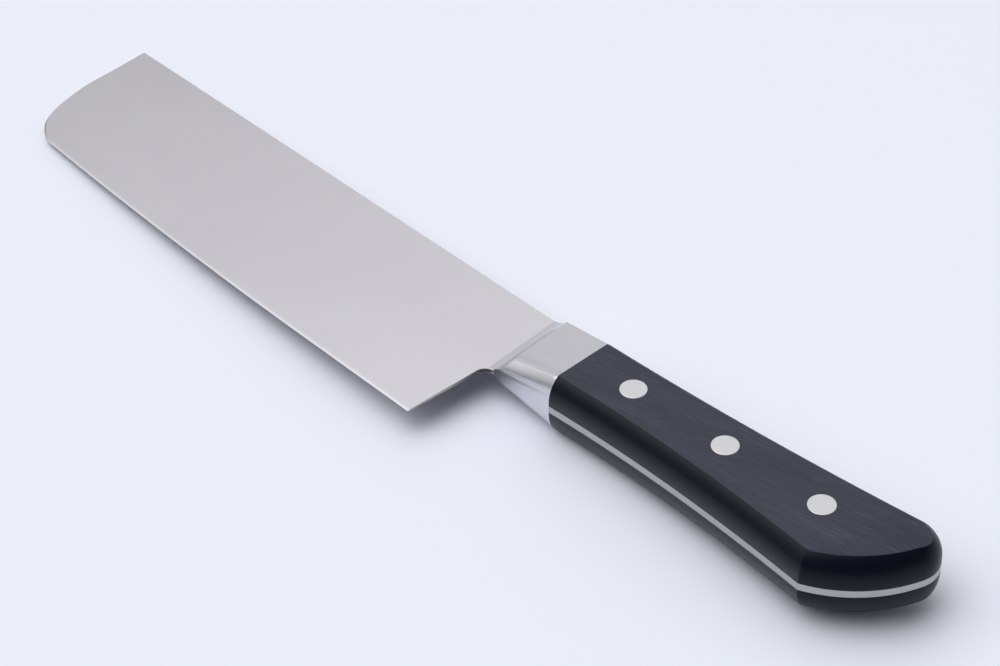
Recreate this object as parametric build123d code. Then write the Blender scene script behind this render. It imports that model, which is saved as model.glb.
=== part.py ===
# Nakiri: a straight-edged vegetable knife with a forged bolster, a full tang and riveted pakkawood
# scales. Millimetres. The knife lies on its side: +X runs to the butt, +Y to the spine and +Z out of
# the side that shows. Pieces are drawn with the heel corner of the cutting edge at the origin and the
# middle plane of the steel at Z = 0, and at the end they are set down on Z = 0, centred.
import os
from math import asin, cos, sin
from build123d import *

# Blade: an almost flat edge that turns up in a long belly, a rounded toe and an upright front.
blade_length = 165.0
blade_height = 47.2
spine_thickness = 2.0
edge_thickness = 0.4
bevel_height = 0.9
bevel_reach = 6
flat_edge_length = 40.0
toe_length = 15.0
belly_rise = 3.2
toe_height = 36.9
front_lean = 0.6
toe_shares = [(0.27, 0.04), (0.62, 0.165), (0.86, 0.424), (0.975, 0.70)]
heel_height = 24.1
heel_lean = 0.7
choil_radius = 3.3
choil_length = 8.0
choil_rise = 1.2

# Bolster: a block that narrows and thins towards the blade and ends in a hollow cove.
bolster_length = 23.0
bolster_nose = -0.5
nose_half = 3.4
nose_belly = 24.3
nose_belly_round = 2.6
nose_back_round = 5.4
cove_radius = 6.5
cove_start = 1.2
cove_skew = 2.5
cove_sink = 0.1
cove_clearance = 4.5

# Handle: its side view, then the section that both scales and the bolster share.
handle_length = 100.9
handle_half = 8.7
belly_at_bolster = 24.3
belly_at_waist = 25.1
belly_at_swell = 24.2
belly_at_corner = 22.7
waist_share = 0.36
swell_share = 0.60
corner_share = 0.796
butt_middle_share = 0.923
butt_middle_height = 32.5
back_at_bolster = 47.2
back_at_middle = 49.8
back_at_butt = 55.0
butt_round = 8.0
shoulder_radius = 8.4
shoulder_start = 2.0
shoulder_steps = 10

# Cutler's rivets: a headed pin pressed into a headed tube.
rivet_head_diameter = 6.7
rivet_head_depth = 1.8
rivet_tube_diameter = 4.2
rivet_pin_diameter = 2.6
rivet_pin_gap = 0.5
rivet_setback = 15.8
rivet_height = 36.8
rivet_pitch = 28.35
rivet_rise = 1.05
rivet_fit = 0.02

# How far a cutting shape runs past what it cuts.
overrun = 5.0

steel_half = spine_thickness / 2
butt_x = bolster_length + handle_length


def left_of(direction):
    """Unit step to the left of a direction: inward, on an outline drawn anticlockwise."""
    return direction.rotate(Axis.Z, 90)


def mitre(before, after):
    """Step from an outline's corner to the same corner of the outline that lies one unit inside."""
    return left_of(before + after) / (1 + before.dot(after))


def blade_outline(inset, height):
    """Side view of the blade at one height, with its cutting edge moved in by a distance.

    It runs from the heel along the flat and the belly, round the toe, up the front, along the
    spine into the bolster, and back by the choil.
    """
    heel = Vector(0, inset)
    flat_end = Vector(-flat_edge_length, inset)
    belly_end = Vector(toe_length - blade_length, belly_rise + inset)
    front_foot = Vector(-blade_length, toe_height)
    front_top = Vector(-blade_length - front_lean, blade_height)
    reach = front_foot - belly_end
    toe = [belly_end + Vector(along * reach.X, up * reach.Y) for along, up in toe_shares]
    spine_end = Vector(choil_length, blade_height)
    choil_end = Vector(choil_length, heel_height + choil_rise)
    flat = Line(heel, flat_end)
    belly = TangentArc(flat_end, belly_end, tangent=(-1, 0))
    front = front_top - front_foot
    edge = flat + belly + Spline(belly_end, *toe, front_foot, tangents=(belly % 1, front))
    around = Polyline(front_foot, front_top, spine_end, choil_end)
    back = FilletPolyline(choil_end, (heel_lean, heel_height), heel, radius=choil_radius)
    return Pos(0, 0, height) * make_face(edge + around + back)


def ground_blade():
    """Blade ground flat from spine to edge, with a finer bevel that dies out round the toe."""
    edge_half = edge_thickness / 2
    section = Plane.YZ * make_face(
        Polyline(
            (0, edge_half),
            (0, -edge_half),
            (blade_height, -steel_half),
            (blade_height, steel_half),
            close=True,
        )
    )
    wedge = extrude(section, choil_length) + extrude(section, -blade_length - overrun)
    sharp = blade_outline(0, 0)
    blunt = blade_outline(bevel_reach * bevel_height, bevel_reach * edge_half)
    side = loft([sharp, blunt], ruled=True)
    return wedge & (side + mirror(side, Plane.XY))


def shoulder(edge, inward, half, straight, radius):
    """Rounded shoulder from a straight edge in to a flat side, as its start, middle and end."""
    turn = asin((half - straight) / radius)
    return [
        (edge + inward * radius * (1 - cos(part * turn)), straight + radius * sin(part * turn))
        for part in (0, 0.5, 1)
    ]


def grip_section(x, belly, back, half, straight, belly_round, back_round):
    """Cross-section of the grip at one place: flat sides, rounded shoulders, straight edges."""
    low = shoulder(belly, 1, half, straight, belly_round)
    high = shoulder(back, -1, half, straight, back_round)
    with BuildSketch(Plane((x, 0, 0), x_dir=(0, 1, 0), z_dir=(1, 0, 0))) as section:
        with BuildLine():
            Line((belly, 0), low[0])
            ThreePointArc(*low)
            Line(low[2], high[2])
            ThreePointArc(*reversed(high))
            Line(high[0], (back, 0))
            Line((back, 0), (belly, 0))
        make_face()
        mirror(about=Plane.XZ)
    return section.sketch


def bolster():
    """Bolster block, thinner at its nose, with a cove hollowed out of each side."""
    nose = grip_section(
        bolster_nose,
        nose_belly,
        blade_height,
        nose_half,
        steel_half,
        nose_belly_round,
        nose_back_round,
    )
    foot = grip_section(
        bolster_length,
        belly_at_bolster,
        back_at_bolster,
        handle_half,
        shoulder_start,
        shoulder_radius,
        shoulder_radius,
    )
    block = loft([nose, foot], ruled=True)
    # The cove's floor lies along the ground side of the blade, a hair below its surface.
    grind_rise = (spine_thickness - edge_thickness) / 2
    floor = Plane(
        (0, 0, edge_thickness / 2 - cove_sink),
        x_dir=(1, 0, 0),
        z_dir=(0, -grind_rise, blade_height),
    )
    across = Plane(floor.origin, x_dir=(1, 0, 0), z_dir=-floor.y_dir)
    with BuildSketch(across) as hollow:
        with Locations((cove_start, cove_radius)):
            Circle(cove_radius)
        with Locations((cove_start, 0)):
            Rectangle(cove_clearance, 2 * handle_half, align=(Align.MAX, Align.MIN))
        with Locations((cove_start, cove_radius)):
            Rectangle(cove_radius, 2 * handle_half, align=(Align.MIN, Align.MIN))
    cutter = extrude(hollow.sketch, -(blade_height + overrun), both=True)
    cutter = Pos(0, blade_height) * Rot(0, 0, cove_skew) * Pos(0, -blade_height) * cutter
    return block - cutter - mirror(cutter, Plane.XY)


belly_line = Spline(
    (bolster_length, belly_at_bolster),
    (bolster_length + waist_share * handle_length, belly_at_waist),
    (bolster_length + swell_share * handle_length, belly_at_swell),
    (bolster_length + corner_share * handle_length, belly_at_corner),
)
butt_line = ThreePointArc(
    belly_line @ 1,
    (bolster_length + butt_middle_share * handle_length, butt_middle_height),
    (butt_x, back_at_butt),
)
back_line = ThreePointArc(
    (butt_x, back_at_butt),
    (bolster_length + handle_length / 2, back_at_middle),
    (bolster_length, back_at_bolster),
)


def handle_outline(inset):
    """Side view of the handle, moved in all round except where it meets the bolster."""
    belly_start = Vector(bolster_length, belly_at_bolster + inset)
    belly_middle = [
        belly_line @ share + inset * left_of(belly_line % share) for share in (1 / 3, 2 / 3)
    ]
    corner = belly_line @ 1 + inset * mitre(belly_line % 1, butt_line % 0)
    butt_middle = butt_line @ 0.5 + inset * left_of(butt_line % 0.5)
    butt_top = butt_line @ 1 + inset * mitre(butt_line % 1, back_line % 0)
    back_middle = back_line @ 0.5 + inset * left_of(back_line % 0.5)
    back_start = Vector(bolster_length, back_at_bolster - inset)
    with BuildLine() as line:
        Spline(belly_start, *belly_middle, corner)
        ThreePointArc(corner, butt_middle, butt_top)
        ThreePointArc(butt_top, back_middle, back_start)
        Line(back_start, belly_start)
    face = make_face(line.line)
    return fillet(face.vertices().sort_by(Axis.X)[-1], butt_round - inset)


def rivet_places():
    """Centre of each rivet, from the bolster to the butt."""
    start = Vector(bolster_length + rivet_setback, rivet_height)
    return [start + count * Vector(rivet_pitch, rivet_rise) for count in range(3)]


def disc(centre, diameter, low, high):
    """Round bar along Z between two heights."""
    return Pos(centre.X, centre.Y, low) * Cylinder(
        diameter / 2, high - low, align=(Align.CENTER, Align.CENTER, Align.MIN)
    )


def tang():
    """Full tang: the handle's own outline in the thickness of the blade's spine."""
    plate = extrude(Pos(0, 0, -steel_half) * handle_outline(0), spine_thickness)
    for place in rivet_places():
        plate -= disc(place, rivet_tube_diameter + 2 * rivet_fit, -steel_half, steel_half)
    return plate


def scale():
    """Upper scale: flat outside with shoulders that round over to the tang, drilled for the rivets."""
    turn = asin((handle_half - shoulder_start) / shoulder_radius)
    levels = [(steel_half, 0)]
    for step in range(shoulder_steps + 1):
        angle = turn * step / shoulder_steps
        levels.append(
            (shoulder_start + shoulder_radius * sin(angle), shoulder_radius * (1 - cos(angle)))
        )
    sections = [Pos(0, 0, height) * handle_outline(inset) for height, inset in levels]
    body = loft(sections, ruled=True)
    for place in rivet_places():
        body -= disc(place, rivet_tube_diameter + 2 * rivet_fit, 0, handle_half)
        body -= disc(
            place, rivet_head_diameter + 2 * rivet_fit, handle_half - rivet_head_depth, handle_half
        )
    return body


def rivet_pin(place):
    """Upper half of a rivet: a flat head on a solid pin that stops short of the other head."""
    head_floor = handle_half - rivet_head_depth
    head = disc(place, rivet_head_diameter, head_floor, handle_half)
    return head + disc(place, rivet_pin_diameter, rivet_pin_gap - head_floor, head_floor)


def rivet_sleeve(place):
    """Lower half of a rivet: a flat head on a tube that the pin is pressed into."""
    head_floor = handle_half - rivet_head_depth
    head = disc(place, rivet_head_diameter, -handle_half, -head_floor)
    tube = disc(place, rivet_tube_diameter, -head_floor, head_floor)
    bore = disc(place, rivet_pin_diameter, -head_floor, head_floor)
    return head + (tube - bore)


upper_scale = scale()
pieces = {
    "blade": ground_blade() + bolster() + tang(),
    "scale_upper": upper_scale,
    "scale_lower": mirror(upper_scale, Plane.XY),
}
for name, place in zip(("front", "middle", "rear"), rivet_places()):
    pieces[f"rivet_{name}_pin"] = rivet_pin(place)
    pieces[f"rivet_{name}_sleeve"] = rivet_sleeve(place)

whole = Compound(list(pieces.values())).bounding_box()
set_down = Pos(-whole.center().X, -whole.center().Y, -whole.min.Z)
print("heel corner of the edge is at", set_down.position)
os.makedirs("parts", exist_ok=True)
for name, piece in pieces.items():
    export_step(set_down * piece, f"parts/{name}.step")
    print(name, "solids:", len(piece.solids()), "cubic millimetres:", round(piece.volume, 1))
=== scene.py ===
# %% [markdown]
# # A nakiri, dressed for its picture
#
# A nakiri is a vegetable knife: a tall, thin blade with a nearly straight edge. This one is
# forged in one piece with its bolster and its full tang, and two dark scales of resin-bonded
# wood are riveted to that tang. The solids come from the drawing, already in place, so every
# cell here works in the same frame: metres, +X towards the butt of the handle, +Y towards the
# spine of the blade and +Z out of the side that shows.

# %% Load the frame
from math import acos, asin, atan2, cos, degrees, pi, radians, sin, sqrt, tan

import bmesh
import bpy
import numpy as np
from mathutils import Matrix, Vector


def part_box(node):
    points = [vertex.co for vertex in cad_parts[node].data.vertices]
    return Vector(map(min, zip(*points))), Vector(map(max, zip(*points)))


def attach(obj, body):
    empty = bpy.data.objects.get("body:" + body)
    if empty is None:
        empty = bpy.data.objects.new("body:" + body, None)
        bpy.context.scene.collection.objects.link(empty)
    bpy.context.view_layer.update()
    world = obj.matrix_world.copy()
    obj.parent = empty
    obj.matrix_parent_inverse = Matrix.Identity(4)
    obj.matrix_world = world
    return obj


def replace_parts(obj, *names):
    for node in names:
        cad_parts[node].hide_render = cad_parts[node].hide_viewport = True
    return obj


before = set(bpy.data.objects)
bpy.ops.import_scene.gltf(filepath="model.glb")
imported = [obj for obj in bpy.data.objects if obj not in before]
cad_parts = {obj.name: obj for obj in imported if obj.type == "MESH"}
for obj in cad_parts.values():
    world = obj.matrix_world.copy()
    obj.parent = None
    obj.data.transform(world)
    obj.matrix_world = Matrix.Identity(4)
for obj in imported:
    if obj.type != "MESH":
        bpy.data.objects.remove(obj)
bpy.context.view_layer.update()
bpy.context.scene.view_settings.view_transform = "Standard"
print("solids:", sorted(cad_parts))

# %% [markdown]
# ## Where the drawing's numbers start
#
# The drawing is in millimetres, and starts at the heel corner of the cutting edge, in the
# middle plane of the steel. Every cell that places something by a size from the drawing goes
# through one helper, so the shift and the change of unit are written once.

# %% From the drawing to the frame
MM = 0.001
blade_low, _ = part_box("blade")
scale_low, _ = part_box("scale_upper")
blade_reach = 165.6
handle_half = 8.7
heel_corner = Vector((blade_low.x + blade_reach * MM, blade_low.y, handle_half * MM))


def at(x, y, z=0.0):
    """Point of the drawing, in millimetres, as a point of the frame, in metres."""
    return heel_corner + Vector((x, y, z)) * MM


print("heel corner of the edge:", [round(v, 5) for v in heel_corner])

# %% [markdown]
# ## The camera
#
# The picture was taken from in front of the butt, from about forty degrees above the table,
# with a long lens: the knife's far end is hardly smaller than its near end. The camera's
# place and its two axes were worked out by matching known points of the drawing, such as the
# corners of the blade and the centres of the rivets, with where they lie in the picture.


# %% The camera
def placed(name, data):
    """Object that carries this data, linked into the scene."""
    made = bpy.data.objects.new(name, data)
    bpy.context.scene.collection.objects.link(made)
    return made


camera_data = bpy.data.cameras.new("camera")
camera_data.sensor_width = 36.0
camera_data.lens = 93.6
camera_data.clip_start = 0.01
camera = placed("camera", camera_data)
camera_place = at(357.7425, -291.5340, 411.5576)
camera_right = Vector((0.68323172, 0.72981714, -0.02369299))
camera_up = Vector((-0.45792491, 0.45351729, 0.76460895))
camera_back = camera_right.cross(camera_up)
turn = Matrix((camera_right, camera_up, camera_back)).transposed()
camera.matrix_world = Matrix.Translation(camera_place) @ turn.to_4x4()
bpy.context.scene.camera = camera
print("camera height above the table, in metres:", round(camera.location.z, 3))

# %% [markdown]
# ## Shader maths as plain sums
#
# A node tree is easier to read when it is written as a sum. `Wire` wraps an output socket and
# turns +, - and * into Math nodes, also when a plain number stands on the left. `Finish`
# holds one material's tree and adds any other node: its settings first, then its inputs.


# %% A material as a set of wires
class Wire:
    """An output socket that can be used in a sum."""

    def __init__(self, finish, socket):
        self.finish = finish
        self.socket = socket

    def _maths(self, operation, first, second):
        values = {0: first, 1: second}
        return self.finish.node("ShaderNodeMath", {"operation": operation}, values)

    def __add__(self, other):
        return self._maths("ADD", self, other)

    __radd__ = __add__

    def __sub__(self, other):
        return self._maths("SUBTRACT", self, other)

    def __rsub__(self, other):
        return self._maths("SUBTRACT", other, self)

    def __mul__(self, other):
        return self._maths("MULTIPLY", self, other)

    __rmul__ = __mul__


class Finish:
    """A material under construction."""

    def __init__(self, name):
        self.material = bpy.data.materials.new(name)
        self.material.use_nodes = True
        self.tree = self.material.node_tree
        self.shader = self.tree.nodes["Principled BSDF"]
        self.place = self.node("ShaderNodeTexCoord", output="Object")

    def node(self, kind, settings=None, inputs=None, output=0):
        """Add a node: its settings, then its inputs. Give one of its outputs as a wire."""
        made = self.tree.nodes.new(kind)
        for key, value in (settings or {}).items():
            setattr(made, key, value)
        for key, value in (inputs or {}).items():
            self.feed(made.inputs[key], value)
        return Wire(self, made.outputs[output])

    def feed(self, socket, value):
        """Link a wire to a socket, or write a plain value in it."""
        if isinstance(value, Wire):
            self.tree.links.new(value.socket, socket)
        else:
            socket.default_value = value

    def set(self, **inputs):
        """Set the shader's own sockets; an underscore stands for a space."""
        for key, value in inputs.items():
            self.feed(self.shader.inputs[key.replace("_", " ")], value)


print("helpers ready: Wire, Finish")

# %% [markdown]
# ## The table
#
# A knife laid on its side rests on three points: its heavy end tips down, so the front of the
# lower scale and a corner of the blade both touch the table, and the butt hangs a few
# millimetres above it. The table is therefore a big plane, turned by that small angle rather
# than turning the knife, because the solids stay where the drawing puts them.

# %% The table
steel_half = 1.0
handle_touch, blade_touch = scale_low.x, blade_low.x
table_tilt = atan2((handle_half - steel_half) * MM, handle_touch - blade_touch)
table_half = 3.0
corners = [(-1, -1), (1, -1), (1, 1), (-1, 1)]
table_points = [
    (x * table_half, y * table_half, (handle_touch - x * table_half) * tan(table_tilt))
    for x, y in corners
]
table_mesh = bpy.data.meshes.new("table")
table_mesh.from_pydata(table_points, [], [(0, 1, 2, 3)])
table = placed("table", table_mesh)

stone = Finish("pale_table")
stone.set(Base_Color=(0.82, 0.845, 0.93, 1.0), Roughness=0.6, Specular_IOR_Level=0.2)
table_mesh.materials.append(stone.material)
print("table tilted by degrees:", round(degrees(table_tilt), 2))

# %% [markdown]
# ## The light
#
# Bare steel shows the room rather than itself, so the room is painted with light. It is dim
# all over, and soft round patches are added, each given by the direction in which it lies. The
# patches behind the knife are what the flat of the blade and the sanded wood send back to the
# lens. Those on its left brighten the bolster's cove, and leave the handle's near side almost
# black. One large soft lamp overhead adds the gentle shadow under the knife.


# %% The light
class Room(Finish):
    """The world's tree, built with the same helpers as a material's."""

    def __init__(self, name):
        self.world = bpy.data.worlds.new(name)
        self.world.use_nodes = True
        self.tree = self.world.node_tree
        self.shader = self.tree.nodes["Background"]
        self.place = self.node("ShaderNodeTexCoord", output="Generated")


def lamp(name, place, aim, size, strength):
    """Soft square lamp that looks at one point."""
    data = bpy.data.lights.new(name, "AREA")
    data.size = size
    data.energy = strength
    turned = (Vector(aim) - Vector(place)).to_track_quat("-Z", "Y")
    placed(name, data).matrix_world = Matrix.Translation(place) @ turned.to_matrix().to_4x4()


patch_core = 6.0


def panel(azimuth, elevation, strength, spread=38.0):
    """Soft round patch of light in the room: its direction and half its width, in degrees."""
    turned, raised = radians(azimuth), radians(elevation)
    way = (cos(raised) * cos(turned), cos(raised) * sin(turned), sin(raised))
    along = room.node(
        "ShaderNodeVectorMath", {"operation": "DOT_PRODUCT"}, {0: room.place, 1: way}, "Value"
    )
    return room.node(
        "ShaderNodeMapRange",
        {"interpolation_type": "SMOOTHSTEP"},
        {
            "Value": along,
            "From Min": cos(radians(spread)),
            "From Max": cos(radians(patch_core)),
            "To Max": strength,
        },
    )


room = Room("room")
bpy.context.scene.world = room.world
behind = [panel(120, 60, 1.0), panel(135, 8, 0.74), panel(45, 8, 0.63), panel(45, 34, 0.25)]
on_the_left = [
    panel(180, 60, 0.73),
    panel(240, 60, 2.15),
    panel(220, 35, 0.6),
    panel(172, 34, 0.3, 22),
]
dim = 0.05
room.set(Color=(1.0, 1.0, 1.01, 1.0), Strength=sum(behind + on_the_left, dim))
lamp("overhead", (0.05, -0.15, 1.3), (0.0, 0.0, 0.0), size=1.0, strength=2.6)
print("patches of light:", len(behind + on_the_left))

# %% [markdown]
# ## Lines that the pieces share
#
# A mesh follows a drawn line as a row of short steps. Three kinds of line are enough for a
# knife: an arc through three points, a smooth cubic through several points, and the same line
# moved inwards by a distance. Each gives plain points in millimetres.


# %% Arcs, smooth lines and offsets
def arc(first, middle, last, steps):
    """Points on the circle through three points."""
    (ax, ay), (bx, by), (cx, cy) = first, middle, last
    turn = 2 * (ax * (by - cy) + bx * (cy - ay) + cx * (ay - by))
    a2, b2, c2 = ax * ax + ay * ay, bx * bx + by * by, cx * cx + cy * cy
    x = (a2 * (by - cy) + b2 * (cy - ay) + c2 * (ay - by)) / turn
    y = (a2 * (cx - bx) + b2 * (ax - cx) + c2 * (bx - ax)) / turn
    start, stop = atan2(ay - y, ax - x), atan2(cy - y, cx - x)
    sweep = (stop - start) % (2 * pi)
    if sweep > pi:
        sweep -= 2 * pi
    radius = sqrt((ax - x) ** 2 + (ay - y) ** 2)
    angles = [start + sweep * k / steps for k in range(steps + 1)]
    return [(x + radius * cos(angle), y + radius * sin(angle)) for angle in angles]


def smooth(points, steps, first_way=None, last_way=None):
    """Points on a cubic spline, with the direction at its ends given or left to the cubic."""
    points = np.array(points, float)
    knots = np.r_[0, np.cumsum(np.hypot(*np.diff(points, axis=0).T))]
    if first_way is None:
        cubic = np.polyfit(knots, points, 3)
        along = np.linspace(0, knots[-1], steps + 1)
        return [tuple(np.polyval(cubic[:, axis], t) for axis in (0, 1)) for t in along]
    gaps = np.diff(knots)
    slopes = np.diff(points, axis=0) / gaps[:, None]
    count = len(points)
    sums, wanted = np.eye(count), np.zeros((count, 2))
    wanted[0], wanted[-1] = first_way, last_way
    for k in range(1, count - 1):
        sums[k, k - 1 : k + 2] = gaps[k], 2 * (gaps[k - 1] + gaps[k]), gaps[k - 1]
        wanted[k] = 3 * (gaps[k] * slopes[k - 1] + gaps[k - 1] * slopes[k])
    ways = np.linalg.solve(sums, wanted)
    found = []
    for t in np.linspace(0, knots[-1], steps + 1):
        k = min(np.searchsorted(knots, t, side="right") - 1, count - 2)
        u = (t - knots[k]) / gaps[k]
        bends = ((1 + 2 * u) * (1 - u) ** 2, u * (1 - u) ** 2, u * u * (3 - 2 * u), u * u * (u - 1))
        point = bends[0] * points[k] + bends[2] * points[k + 1]
        point = point + gaps[k] * (bends[1] * ways[k] + bends[3] * ways[k + 1])
        found.append(tuple(point))
    return found


def inwards(line):
    """Step from each point of an anticlockwise open line to the line one unit inside it."""
    line = np.array(line)
    ways = np.diff(line, axis=0)
    ways /= np.hypot(*ways.T)[:, None]
    lefts = np.stack([-ways[:, 1], ways[:, 0]], axis=1)
    before, after = np.vstack([lefts[:1], lefts]), np.vstack([lefts, lefts[-1:]])
    return (before + after) / (1 + (before * after).sum(1))[:, None]


print("lines ready")

# %% [markdown]
# ## From faces to a finished piece
#
# Every piece of steel or wood is made as bare faces first. On a real knife no edge is truly
# sharp except the one that cuts: each has been eased on a belt, and that thin rounding is what
# catches the light. A Bevel modifier eases the sharp edges, and Weighted Normal keeps the flat
# faces reading as flat.


# %% A piece from its faces
def weld(mesh, reach):
    """Join points closer than a reach in millimetres, and turn every face outwards."""
    shape = bmesh.new()
    shape.from_mesh(mesh)
    bmesh.ops.remove_doubles(shape, verts=shape.verts, dist=reach * MM)
    bmesh.ops.dissolve_degenerate(shape, edges=shape.edges, dist=reach / 2 * MM)
    bmesh.ops.recalc_face_normals(shape, faces=shape.faces)
    shape.to_mesh(mesh)
    shape.free()


def piece(name, points, faces, finish, ease, ease_steps=3, sharper_than=35):
    """Mesh object from points in drawing millimetres, with its sharp edges eased."""
    mesh = bpy.data.meshes.new(name)
    mesh.from_pydata([at(*point) for point in points], [], faces)
    weld(mesh, 0.002)
    mesh.shade_smooth()
    mesh.materials.append(finish.material)
    made = placed(name, mesh)
    bevel = made.modifiers.new("eased_edges", "BEVEL")
    bevel.width = ease * MM
    bevel.segments = ease_steps
    bevel.limit_method = "ANGLE"
    bevel.angle_limit = radians(sharper_than)
    bevel.miter_outer = "MITER_ARC"
    flat = made.modifiers.new("flat_faces", "WEIGHTED_NORMAL")
    flat.keep_sharp = False
    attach(made, "root")
    print(name, "faces:", len(mesh.polygons))
    return made


print("piece maker ready")

# %% [markdown]
# ## Flat sides that look flat
#
# The rims of drilled holes pull at the shading of the flat side round them, and it looks
# dented there. The flats of a real handle are ground in one pass, so the corners of every
# level face take the direction of that face instead.


# %% Flat faces that shade flat
level_from = 0.99999


def shade_level(mesh):
    """Give every corner of a level face the face's own direction, so that it shades flat."""
    ways = [Vector(corner.vector) for corner in mesh.corner_normals]
    for polygon in mesh.polygons:
        if abs(polygon.normal.z) > level_from:
            for corner in polygon.loop_indices:
                ways[corner] = polygon.normal.copy()
    mesh.normals_split_custom_set(ways)


print("flat shading ready")

# %% [markdown]
# ## Steel that has been ground
#
# A knife's steel is bare metal, so nearly all that one sees of it is the room, blurred by
# scratches too fine to tell apart. Those scratches run one way, across the blade, because that
# is how the belt crossed it. A stretched noise gives such scratches: squeezed many times more
# along the blade than across it. It drives a little of the roughness, a little of the bump and
# a trace of the colour; a much larger, softer noise adds the faint clouds that handling leaves.


# %% Noise stretched along the marks of a tool
def marks(finish, per_metre, detail=2.0, rough=0.6, turned=0.0):
    """Noise from 0 to 1 with so many marks to a metre along X, Y and Z."""
    vector = finish.place
    if turned:
        vector = finish.node(
            "ShaderNodeMapping", inputs={"Vector": vector, "Rotation": (0.0, 0.0, radians(turned))}
        )
    vector = finish.node("ShaderNodeMapping", inputs={"Vector": vector, "Scale": per_metre})
    return finish.node(
        "ShaderNodeTexNoise",
        inputs={"Vector": vector, "Scale": 1.0, "Detail": detail, "Roughness": rough},
    )


def stretched(finish, value, first, last, low, high):
    """Spread the part of a value between two limits over a new range, and hold it there."""
    return finish.node(
        "ShaderNodeMapRange",
        inputs={"Value": value, "From Min": first, "From Max": last, "To Min": low, "To Max": high},
    )


def blended(finish, share, first, second):
    """Colour that goes from the first to the second as the share goes from 0 to 1."""
    return finish.node(
        "ShaderNodeMix",
        {"data_type": "RGBA"},
        {"Factor": share, 6: (*first, 1.0), 7: (*second, 1.0)},
        output=2,
    )


def dented(finish, height, depth):
    """Normal of a surface whose height varies by a depth in millimetres."""
    return finish.node(
        "ShaderNodeBump", inputs={"Strength": 1.0, "Distance": depth * MM, "Height": height}
    )


def ground_steel(name, dull, bright, roughness, scratches, depth):
    """Bare steel with scratches to a metre along X, Y and Z, of a depth in millimetres."""
    finish = Finish(name)
    fine = marks(finish, scratches)
    clouds = marks(finish, (22.0, 34.0, 22.0), 3.0)
    share = stretched(finish, 0.35 * fine + 0.65 * clouds, 0.32, 0.68, 0.0, 1.0)
    finish.set(
        Base_Color=blended(finish, share, dull, bright),
        Metallic=1.0,
        Roughness=roughness - 0.02 + 0.05 * fine + 0.02 * clouds,
        Normal=dented(finish, fine, depth),
    )
    return finish


print("steel maker ready")

# %% [markdown]
# ## Four steels
#
# The same steel looks different wherever another tool has been over it. The blade has a fine
# satin from a belt that ran across it. The bolster was buffed after it. The edge of the tang,
# sanded together with the wood, is the dullest, and the heads of the rivets were faced with
# the flats of the scales.

# %% The steel finishes
satin = ground_steel(
    "satin_steel", (0.550, 0.540, 0.570), (0.575, 0.565, 0.595), 0.24, (2600, 90, 2600), 0.0006
)
polish = ground_steel(
    "bolster_steel", (0.66, 0.66, 0.70), (0.71, 0.71, 0.75), 0.24, (1500, 120, 400), 0.0008
)
strip = ground_steel(
    "tang_steel", (0.43, 0.43, 0.44), (0.47, 0.47, 0.48), 0.34, (90, 90, 3000), 0.0012
)
rivet_metal = ground_steel(
    "rivet_steel", (0.570, 0.562, 0.580), (0.600, 0.592, 0.610), 0.33, (900, 2200, 900), 0.0010
)
print("steel finishes ready")

# %% [markdown]
# ## The blade
#
# The side view of the blade is one closed line, and its thickness follows one rule: two
# millimetres at the spine, thinning in a straight line to almost nothing at the edge. So each
# side is a single flat face, and a narrow second bevel joins the two sides at the very edge.

# %% The blade's sizes
blade_length, blade_height = 165.0, 47.2
edge_half, bevel_height = 0.2, 0.9


def ground_half(y):
    """Half the thickness of the blade at a height above its edge."""
    return edge_half + (steel_half - edge_half) * y / blade_height


print("blade, in millimetres:", blade_length, "by", blade_height, "by", 2 * steel_half)

# %% [markdown]
# ## The edge, the toe and the choil
#
# From the heel the edge is straight, for rocking is not what this knife does. It then lifts in
# a long, very flat arc, and turns up round the toe into a front that leans a little. Behind
# the heel, the back edge meets the underside of the bolster in a rounded inner corner, the
# choil, because a sharp corner there would start a crack and would be sore on the finger.

# %% The blade's outline
flat_reach, flat_count = 40.0, 8
belly_reach, belly_rise, belly_count = 110.0, 3.2, 24
toe_count = 48
toe_reach = blade_length - flat_reach - belly_reach
flat_edge = [(-flat_reach * k / flat_count, 0.0) for k in range(flat_count)]
belly_radius = (belly_reach**2 + belly_rise**2) / (2 * belly_rise)
belly_sweep = asin(belly_reach / belly_radius)
belly_angles = [belly_sweep * k / belly_count for k in range(belly_count + 1)]
belly = [
    (-flat_reach - belly_radius * sin(angle), belly_radius * (1 - cos(angle)))
    for angle in belly_angles
]
toe_foot = Vector((-flat_reach - belly_reach, belly_rise))
front_foot = Vector((-blade_length, 36.9))
front_top = Vector((-blade_reach, blade_height))
toe_shares = [(0.27, 0.04), (0.62, 0.165), (0.86, 0.424), (0.975, 0.70)]
toe_points = [
    (toe_foot.x - toe_reach * along, toe_foot.y + (front_foot.y - toe_foot.y) * up)
    for along, up in toe_shares
]
toe = smooth(
    [toe_foot, *toe_points, front_foot],
    toe_count,
    (-cos(belly_sweep), sin(belly_sweep)),
    (front_top - front_foot).normalized(),
)
cutting = flat_edge + belly + toe[1:]
buried_top, buried_low = Vector((8.0, blade_height)), Vector((8.0, 25.3))
heel, heel_top = Vector((0.0, 0.0)), Vector((0.7, 24.1))
choil_radius, choil_steps = 3.3, 14


def choil_corner():
    """Rounded inner corner between the heel's back edge and the underside of the bolster."""
    up_way, in_way = (heel - heel_top).normalized(), (buried_low - heel_top).normalized()
    half_angle = acos(up_way.dot(in_way)) / 2
    centre = heel_top + (up_way + in_way).normalized() * (choil_radius / sin(half_angle))
    reach = choil_radius / tan(half_angle)
    middle = centre + (heel_top - centre).normalized() * choil_radius
    return arc(heel_top + in_way * reach, middle, heel_top + up_way * reach, choil_steps)


outline = cutting + [tuple(front_top), tuple(buried_top), tuple(buried_low)] + choil_corner()
print("blade outline points:", len(outline))

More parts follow.
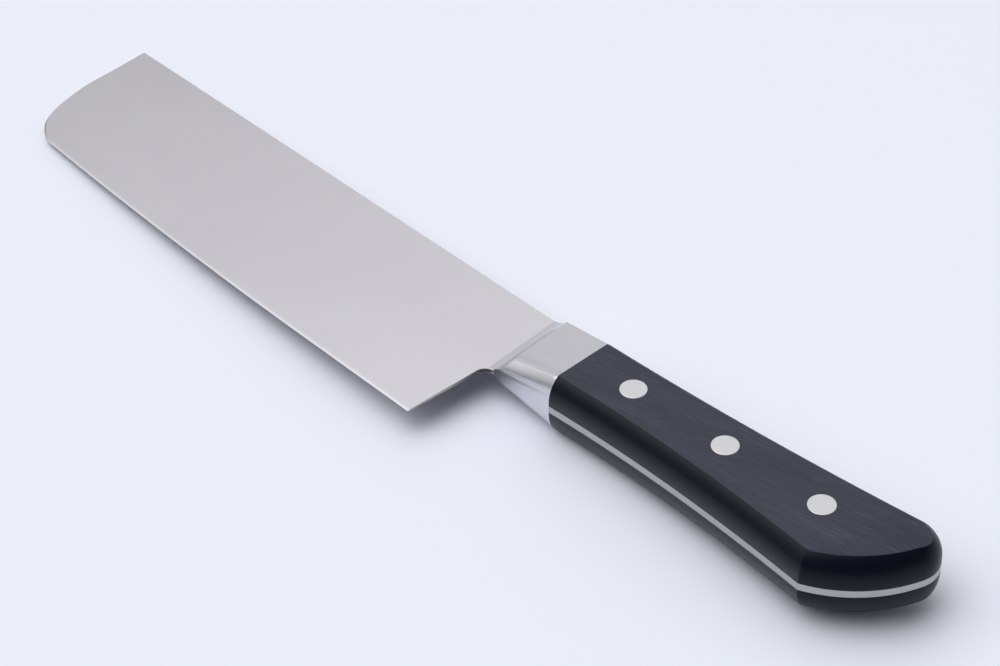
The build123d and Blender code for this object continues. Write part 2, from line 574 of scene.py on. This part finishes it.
# %% [markdown]
# ## The blade's mesh
#
# Three rings of points follow the outline: one on each ground side and one in the middle
# plane. Along the edge the side rings lie higher than the middle one, by the height of the
# fine bevel, which fades out towards the top of the toe. Behind the heel they are drawn in
# instead, because that corner is rounded over for the finger that rests there.

# %% The blade
choil_ease = 0.5
count = len(outline)
middle_ring = [(x, y, 0.0) for x, y in outline]
upper_ring = []
for index, (x, y) in enumerate(outline):
    rise = 0.0
    if index < len(cutting):
        low = max(y, toe_foot.y)
        rise = bevel_height * (front_foot.y - low) / (front_foot.y - toe_foot.y)
    upper_ring.append((x, y + rise, ground_half(y + rise)))
steps_in = inwards([outline[-1], *outline, outline[0]])[1:-1] * choil_ease
for index in range(count - choil_steps - 1, count):
    x, y, z = upper_ring[index]
    upper_ring[index] = (x + steps_in[index][0], y + steps_in[index][1], z)
lower_ring = [(x, y, -z) for x, y, z in upper_ring]
blade_faces = [tuple(range(count)), tuple(range(3 * count - 1, 2 * count - 1, -1))]
for index in range(count):
    after = (index + 1) % count
    for ring in (0, count):
        blade_faces.append((ring + index, ring + after, ring + count + after, ring + count + index))
blade_points = upper_ring + middle_ring + lower_ring
blade = piece("blade_steel", blade_points, blade_faces, satin, ease=0.12)

# %% [markdown]
# ## The bolster
#
# The bolster is the thick collar between the blade and the handle. It grows wider and thicker
# towards the handle, and a hollow cove is ground across each side where it meets the blade.
# Its block runs between two sections, a small one at its nose and the handle's own at its
# foot. A section rises straight from the belly, turns round a shoulder, droops a little
# before the flat, and goes down to the back in the same way.

# %% The bolster's sections
bolster_length, bolster_nose = 23.0, -0.5
grip_low, grip_high, nose_proud = 24.3, blade_height, 0.03
around_steps, droop_steps, flat_steps = 10, 6, 10
droop_start, droop_reach = 0.08, 2.6
shoulder_start, shoulder_radius, last_turn = 2.0, 8.4, 0.98


def shoulder(edge, inward, straight, radius, half, steps, lean=1.0):
    """Rounded shoulder from a straight edge in to a flat side; the last step is a thin one."""
    turn = asin((half - straight) / radius)
    angles = [turn * k / steps for k in range(steps)] + [turn * last_turn, turn]
    return [
        (edge + inward * lean * radius * (1 - cos(angle)), straight + radius * sin(angle))
        for angle in angles
    ]


def grip_profile(belly_y, back_y, half, straight, belly_round, back_round, lean, droop):
    """Upper half of a section of the grip, from its belly over the flat to its back.

    Half is its height above the middle plane. A lean above 1 stretches the belly's shoulder
    sideways, and the droop is how far the flat sinks where it meets that shoulder.
    """
    low = shoulder(belly_y, 1, straight, belly_round, half - droop, around_steps, lean)
    high = shoulder(back_y, -1, straight, back_round, half, around_steps)
    start, run = low[-1][0], high[-1][0] - low[-1][0]
    reaches = [droop_start]
    reaches += [droop_reach * (k / droop_steps) ** 1.5 for k in range(1, droop_steps)]
    reaches += [droop_reach + (run - droop_reach) * k / flat_steps for k in range(flat_steps)]
    flat = [
        (start + reach, half - droop * max(0.0, 1 - reach / droop_reach) ** 2)
        for reach in reaches
    ]
    return [(belly_y, 0.0), *low, *flat, *reversed(high), (back_y, 0.0)]


nose = grip_profile(
    grip_low,
    grip_high + nose_proud,
    half=3.4,
    straight=steel_half,
    belly_round=2.6,
    back_round=5.4,
    lean=3.4,
    droop=0.8,
)
foot = grip_profile(
    grip_low,
    grip_high,
    half=handle_half,
    straight=shoulder_start,
    belly_round=shoulder_radius,
    back_round=shoulder_radius,
    lean=1.0,
    droop=0.4,
)
print("points in a section of the bolster:", len(nose))

# %% [markdown]
# ## The cove and the crease
#
# The cove is a quarter round that a small wheel grinds across each side, and its floor lies
# along the ground side of the blade, so that the hollow runs out into the blade with no step.
# Each line of the mesh runs lengthwise, first down the cove's wall and then along the block,
# so that the crease between the two is a real line of the mesh. The search for the crease
# halves the line again and again until it holds the place where the block dives under the
# cove.

# %% The bolster
cove_radius, cove_start, cove_skew, cove_sink = 8.0, 0.1, radians(2.5), 0.1
far_above = 99.0
cove_steps, block_steps, least_share, halvings = 12, 16, 0.04, 40


def cove_height(x, y):
    """Height of the cove's hollow above the middle plane, and far above beyond its wall."""
    back_x = cos(cove_skew) * x + sin(cove_skew) * (y - blade_height)
    back_y = cos(cove_skew) * (y - blade_height) - sin(cove_skew) * x + blade_height
    past = back_x - cove_start
    wall = 0.0 if past <= 0 else far_above
    if 0 < past < cove_radius:
        wall = cove_radius - sqrt(cove_radius**2 - past**2)
    return ground_half(back_y) - cove_sink + wall


def on_block(near, far, share):
    """Point between a section's point at the nose and the same one at the foot."""
    x = bolster_nose + share * (bolster_length - bolster_nose)
    return x, near[0] + share * (far[0] - near[0]), near[1] + share * (far[1] - near[1])


def crease_share(near, far):
    """How far along the block its line comes out of the cove."""
    low, high = 0.0, 1.0
    for _ in range(halvings):
        share = (low + high) / 2
        x, y, z = on_block(near, far, share)
        low, high = (share, high) if z > cove_height(x, y) else (low, share)
    return max(high, least_share)


rows = []
for near, far in zip(nose, foot):
    crease = crease_share(near, far)
    shares = [crease * (1 - (1 - k / cove_steps) ** 1.5) for k in range(cove_steps)]
    shares += [crease + (1 - crease) * (k / block_steps) ** 1.4 for k in range(block_steps + 1)]
    points = [on_block(near, far, share) for share in shares]
    rows.append([(x, y, min(z, cove_height(x, y))) for x, y, z in points])
across = len(rows[0])
upper = [point for row in rows for point in row]
lower = [(x, y, -z) for x, y, z in upper]
bolster_faces = []
for side in (0, len(upper)):
    for j in range(len(rows) - 1):
        for i in range(across - 1):
            corner = side + j * across + i
            bolster_faces.append((corner, corner + 1, corner + across + 1, corner + across))
for end in (across - 1, 0):
    rim = [j * across + end for j in range(len(rows))]
    bolster_faces.append(tuple(rim + [len(upper) + k for k in reversed(rim)][1:-1]))
bolster = piece(
    "bolster_steel", upper + lower, bolster_faces, polish, ease=0.15, sharper_than=25
)

# %% [markdown]
# ## The handle's outline
#
# The tang and both scales share one side view: a belly that swells a little, a slanting butt
# with a sharp lower corner and a rounded upper one, and a long back. The shoulders of the
# scales follow the same line further in. Round the upper corner of the butt they are
# slimmer, as a belt takes more from a corner that sticks out.

# %% The handle's outline
handle_length, butt_top = 100.9, 55.0
butt_round, round_steps, belly_steps, long_steps = 8.0, 24, 40, 150
corner_way, corner_spread, corner_thinning = radians(12), radians(60), 0.33


def on_grip(share, y):
    """Point at a share of the handle's length, and at a height above the blade's edge."""
    return bolster_length + share * handle_length, y


belly_line = smooth(
    [on_grip(0.0, grip_low), on_grip(0.36, 25.1), on_grip(0.60, 24.2), on_grip(0.796, 22.7)],
    belly_steps,
)
butt_arc = arc(belly_line[-1], on_grip(0.923, 32.5), on_grip(1.0, butt_top), long_steps)
back_arc = arc(butt_arc[-1], on_grip(0.5, 49.8), on_grip(0.0, grip_high), long_steps)


def rounded(first, second, radius, steps):
    """Two lines that meet, with their corner rounded to a radius.

    The same two lines, moved inwards by the radius, cross at the centre of the bend. It starts
    and stops where the centre is square to each line.
    """
    first, second = np.array(first), np.array(second)
    inner_first = first + radius * inwards(first)
    inner_second = second + radius * inwards(second)
    gaps = np.hypot(*(inner_first[:, None] - inner_second[None]).transpose(2, 0, 1))
    i, j = np.unravel_index(gaps.argmin(), gaps.shape)
    way_first = inner_first[i + 1] - inner_first[i - 1]
    way_second = inner_second[j + 1] - inner_second[j - 1]
    across = np.array((way_second[1], -way_second[0]))
    share = (inner_second[j] - inner_first[i]) @ across / (way_first @ across)
    centre = inner_first[i] + share * way_first
    start, stop = (
        line[k] - centre + way * ((centre - line[k]) @ way) / (way @ way)
        for line, k, way in ((first, i, way_first), (second, j, way_second))
    )
    start_angle, stop_angle = atan2(start[1], start[0]), atan2(stop[1], stop[0])
    sweep = (stop_angle - start_angle) % (2 * pi)
    angles = start_angle + sweep * np.linspace(0, 1, steps + 1)
    bend = centre + radius * np.stack([np.cos(angles), np.sin(angles)], axis=1)
    return [tuple(point) for point in (*first[:i], *bend, *second[j + 1 :])]


grip = belly_line[:-1] + rounded(butt_arc, back_arc, butt_round, round_steps)
grip_inwards = inwards(grip)
grip_inwards[0], grip_inwards[-1] = (0.0, 1.0), (0.0, -1.0)
for k, step in enumerate(grip_inwards):
    off_corner = (atan2(-step[1], -step[0]) - corner_way) / corner_spread
    if abs(off_corner) < 1:
        grip_inwards[k] = step * (1 - corner_thinning * cos(off_corner * pi / 2) ** 2)
print("handle outline points:", len(grip))

# %% [markdown]
# ## The tang
#
# The tang is a slab of the same steel with the handle's full outline, so its edge shows as a
# bright line all round the wood. That makes the handle stiff, and moves the balance of the
# knife back towards the hand. Blade, bolster and tang are one forging, and so they stand
# together for the one solid of the drawing.

# %% The tang
tang_ring = len(grip)
tang_points = [(x, y, z) for z in (steel_half, -steel_half) for x, y in grip]
tang_faces = [tuple(range(tang_ring)), tuple(range(2 * tang_ring - 1, tang_ring - 1, -1))]
for k in range(tang_ring):
    after = (k + 1) % tang_ring
    tang_faces.append((k, after, tang_ring + after, tang_ring + k))
tang = piece("tang_steel", tang_points, tang_faces, strip, ease=0.05, ease_steps=2)
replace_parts(blade, "blade")
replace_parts(bolster, "blade")
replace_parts(tang, "blade")

# %% [markdown]
# ## Rivets, turned and repeated
#
# A cutler's rivet is turned on a lathe: a flat head, ground flush with the wood, on a thin
# shank. The pin of one half is pressed into the hollow shank of the other. The same rivet shows
# three times at an even pitch, so one Geometry Nodes tree makes it once and repeats it. The
# tree sweeps half of the rivet's section round a circle, as a lathe does, and puts a copy on
# each point of a short line. Its named inputs are the sizes of the rivet and of the row, and
# with slightly larger sizes the same tree makes the bits that drill the scales.


# %% A tree for turned rows
class Workshop(Finish):
    """A geometry tree, built with the same node helper as a material."""

    def __init__(self, name, sizes, vectors):
        self.tree = bpy.data.node_groups.new(name, "GeometryNodeTree")
        sockets = self.tree.interface
        sockets.new_socket("Geometry", in_out="OUTPUT", socket_type="NodeSocketGeometry")
        self.names = {}
        kinds = [(size, "Float") for size in sizes] + [(vector, "Vector") for vector in vectors]
        for label, kind in [*kinds, ("Finish", "Material")]:
            made = sockets.new_socket(label, in_out="INPUT", socket_type="NodeSocket" + kind)
            self.names[label] = made.identifier
        entry = self.tree.nodes.new("NodeGroupInput")
        self.given = {label: Wire(self, entry.outputs[label]) for label in self.names}

    def line(self, start, end):
        """Straight run of the section, from one radius and depth to another."""
        ends = [
            self.node("ShaderNodeCombineXYZ", inputs={"X": radius, "Y": depth})
            for radius, depth in (start, end)
        ]
        places = {"Start": ends[0], "End": ends[1]}
        return self.node("GeometryNodeCurvePrimitiveLine", inputs=places)

    def mesh(self, name, values):
        """Run the tree once with these values, and give what it makes as a plain mesh."""
        holder = placed(name, bpy.data.meshes.new(name))
        run = holder.modifiers.new("run", "NODES")
        run.node_group = self.tree
        for label, value in values.items():
            run[self.names[label]] = value
        seen = holder.evaluated_get(bpy.context.evaluated_depsgraph_get())
        mesh = bpy.data.meshes.new_from_object(seen)
        bpy.data.objects.remove(holder)
        weld(mesh, 0.001)
        return mesh


print("workshop ready")

# %% [markdown]
# ## The section and the row
#
# Half of a rivet's section starts at the middle of its face, turns over the eased rim, and
# steps in under the head to the shank. It runs down to the end of the shank, goes back up the
# bore to its floor, and closes on the axis. A pin has no bore, and its floor lies at its end.

# %% The turned row
lathe = Workshop(
    "turned_row",
    ("Radius", "Ease", "Head", "Shank", "Length", "Bore", "Floor", "Side"),
    ("Start", "Pitch"),
)
given = lathe.given
rim = [
    lathe.node("ShaderNodeCombineXYZ", inputs={"X": radius, "Y": depth})
    for radius, depth in (
        (given["Radius"] - given["Ease"], 0.0),
        (given["Radius"], 0.0),
        (given["Radius"], given["Ease"]),
    )
]
face = lathe.line((0.0, 0.0), (given["Radius"] - given["Ease"], 0.0))
eased_rim = lathe.node(
    "GeometryNodeCurveQuadraticBezier",
    inputs={"Resolution": 4, "Start": rim[0], "Middle": rim[1], "End": rim[2]},
)
stops = [
    (given["Radius"], given["Ease"]),
    (given["Radius"], given["Head"]),
    (given["Shank"], given["Head"]),
    (given["Shank"], given["Length"]),
    (given["Bore"], given["Length"]),
    (given["Bore"], given["Floor"]),
    (0.0, given["Floor"]),
]
runs = [face, eased_rim] + [lathe.line(start, end) for start, end in zip(stops, stops[1:])]
section = lathe.node("GeometryNodeJoinGeometry")
for run in runs:
    lathe.tree.links.new(run.socket, section.socket.node.inputs[0])
spindle = lathe.node(
    "GeometryNodeCurvePrimitiveCircle", inputs={"Resolution": 64, "Radius": 0.01 * MM}
)
turned = lathe.node(
    "GeometryNodeCurveToMesh", inputs={"Curve": spindle, "Profile Curve": section}
)
way_up = lathe.node("ShaderNodeCombineXYZ", inputs={"X": 1.0, "Y": 1.0, "Z": given["Side"]})
turned = lathe.node("GeometryNodeTransform", inputs={"Geometry": turned, "Scale": way_up})
row = lathe.node(
    "GeometryNodeMeshLine",
    inputs={"Count": 3, "Start Location": given["Start"], "Offset": given["Pitch"]},
)
copies = lathe.node("GeometryNodeInstanceOnPoints", inputs={"Points": row, "Instance": turned})
solid = lathe.node("GeometryNodeRealizeInstances", inputs={"Geometry": copies})
finished = lathe.node(
    "GeometryNodeSetMaterial", inputs={"Geometry": solid, "Material": given["Finish"]}
)
lathe.tree.links.new(finished.socket, lathe.tree.nodes.new("NodeGroupOutput").inputs[0])
print("inputs of the tree:", ", ".join(given))

# %% [markdown]
# ## Pins and sleeves
#
# The pins come in from the side that shows, and the sleeves from the side below. A sleeve
# reaches up to the underside of the pin's head, and the pin stops a little short of the
# sleeve's own head, so that the two draw the scales tight before they bottom out.

# %% The rivets
head_radius, head_depth = 3.35, 1.8
tube_radius, pin_radius, pin_gap, fit = 2.1, 1.3, 0.5, 0.02
tang_reach = 2 * handle_half - head_depth
rivet_ease = 0.12
rivet_row = {"Pitch": Vector((28.35, 1.05, 0.0)) * MM}


def turned_row(name, side, finish, radius, ease, shank, length, bore, floor):
    """Mesh of three turned parts in a row, with their faces flush on one side of the handle."""
    sizes = {
        "Radius": radius,
        "Ease": ease,
        "Head": head_depth,
        "Shank": shank,
        "Length": length,
        "Bore": bore,
        "Floor": floor,
    }
    values = {label: value * MM for label, value in sizes.items()}
    start = at(bolster_length + 15.8, 36.8, side * handle_half)
    return lathe.mesh(
        name,
        {**values, **rivet_row, "Side": float(side), "Start": start, "Finish": finish.material},
    )


def rivets(name, side, shank, length, bore, floor):
    """Three rivet halves as one piece."""
    mesh = turned_row(name, side, rivet_metal, head_radius, rivet_ease, shank, length, bore, floor)
    mesh.shade_smooth()
    mesh.set_sharp_from_angle(angle=radians(40))
    shade_level(mesh)
    made = placed(name, mesh)
    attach(made, "root")
    print(name, "faces:", len(mesh.polygons))
    return made


pin_length = tang_reach - pin_gap
pins = rivets("rivet_pins", 1, pin_radius, pin_length, 0.0, pin_length)
sleeves = rivets("rivet_sleeves", -1, tube_radius, tang_reach, pin_radius, head_depth)
for where in ("front", "middle", "rear"):
    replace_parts(pins, f"rivet_{where}_pin")
    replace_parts(sleeves, f"rivet_{where}_sleeve")

# %% [markdown]
# ## Dark, resin-bonded wood
#
# The scales are pakkawood: thin sheets of wood, dyed, soaked in resin and pressed. The flat
# sides are sanded and stay matte, with fine paler streaks of grain along them, and their
# whole colour is painted paler as well: a painted sheen, standing for the light the flat top
# sends back from the room. The shoulders are buffed, and there the same wood is nearly black
# and reflects the room. The two are told apart by the height above the middle of the handle.
# The streaks are a noise stretched along the handle, kept to its brightest parts. The sawn
# end of the butt takes less of the polish, because there the grain stands on end.


# %% The wood
wood = Finish("pakkawood")


def reading(axis):
    """Coordinate of the shaded point along one axis of the frame."""
    return wood.node("ShaderNodeSeparateXYZ", inputs={"Vector": wood.place}, output=axis)


from_middle = wood.node(
    "ShaderNodeMath", {"operation": "ABSOLUTE"}, {0: reading("Z") - handle_half * MM}
)
flat_from, flat_full = (handle_half - 0.12) * MM, (handle_half - 0.02) * MM
# Mask of the flat faces, found by height: they are rougher and bumped by grain there, and their
# paler colour is partly grain, partly painted sheen.
sanded_and_painted_sheen = stretched(wood, from_middle, flat_from, flat_full, 0.0, 1.0)
grain = marks(wood, (150, 2600, 2600), 3.0, 0.62, turned=-11.0)
flecks = marks(wood, (420, 5200, 5200), 2.0, 0.6, turned=-13.0)
tone = marks(wood, (30, 160, 160), 2.0, turned=-11.0)
streak = stretched(wood, grain, 0.53, 0.72, 0.0, 1.0)
fleck = stretched(wood, flecks, 0.60, 0.75, 0.0, 1.0)
# Share of the paler colour on the flats: the even part is painted sheen, and the tone, streak and
# fleck parts are grain.
pale = sanded_and_painted_sheen * (0.25 + 0.30 * tone + 0.30 * streak + 0.25 * fleck)
butt_slope = 0.2
butt_line = at(98.8, 0.0).x - butt_slope * heel_corner.y
towards_butt = reading("X") - butt_slope * reading("Y")
end_grain = stretched(wood, towards_butt, butt_line - 0.3 * MM, butt_line + 0.5 * MM, 0.0, 1.0)
buffed = stretched(wood, from_middle, 3.0 * MM, 6.0 * MM, 0.45, 0.08)
wood.set(
    Base_Color=blended(wood, pale, (0.0030, 0.0040, 0.0105), (0.083, 0.092, 0.128)),
    Roughness=0.30 + 0.15 * grain + 0.10 * sanded_and_painted_sheen,
    Specular_IOR_Level=0.15,
    Coat_Weight=buffed * (1.0 - 0.8 * end_grain),
    Coat_Roughness=0.16,
    Normal=dented(wood, sanded_and_painted_sheen * (0.7 * grain + 0.3 * flecks), 0.012),
)
print("wood ready")

# %% [markdown]
# ## The scales
#
# A scale is the handle's outline stacked in levels that move inwards as they rise: first
# straight up beside the tang, then round a shoulder that ends in a crease at the flat side.
# Each is drilled by a Boolean after its edges are eased, so that the rims of the holes stay
# sharp and the rivets fill them.

# %% The scales
shoulder_steps = 14
shoulder_levels = [(0.0, steel_half)] + shoulder(
    0.0, 1, shoulder_start, shoulder_radius, handle_half, shoulder_steps
)
overshoot = 0.05


def scale(name, side):
    """One scale, with its three stepped holes."""
    points = [
        (x + inset * step[0], y + inset * step[1], side * height_there)
        for inset, height_there in shoulder_levels
        for (x, y), step in zip(grip, grip_inwards)
    ]
    ring = len(grip)
    top = len(shoulder_levels) - 1
    faces = [tuple(range(ring)), tuple(range(top * ring, (top + 1) * ring))]
    for level in range(top):
        for k in range(ring - 1):
            corner = level * ring + k
            faces.append((corner, corner + 1, corner + ring + 1, corner + ring))
    near_end = [level * ring for level in range(top + 1)]
    far_end = [level * ring + ring - 1 for level in range(top, -1, -1)]
    faces.append(tuple(near_end + far_end))
    made = piece(name, points, faces, wood, ease=0.14, sharper_than=28)
    hole_radius, shank_radius = head_radius + fit, tube_radius + fit
    bit_sizes = (hole_radius, 0.0, shank_radius, handle_half, 0.0, handle_half)
    bits = placed(name + "_bits", turned_row(name + "_bits", side, wood, *bit_sizes))
    bits.data.transform(Matrix.Translation((0.0, 0.0, side * overshoot * MM)))
    drill = made.modifiers.new("holes", "BOOLEAN")
    drill.object = bits
    drill.solver = "EXACT"
    eased_first = 1
    made.modifiers.move(made.modifiers.find("holes"), eased_first)
    seen = made.evaluated_get(bpy.context.evaluated_depsgraph_get())
    plain = bpy.data.meshes.new_from_object(seen)
    shade_level(plain)
    made.modifiers.clear()
    made.data = plain
    bpy.data.objects.remove(bits)
    print(name, "faces once drilled:", len(plain.polygons))
    return made


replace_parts(scale("scale_wood_upper", 1), "scale_upper")
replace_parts(scale("scale_wood_lower", -1), "scale_lower")
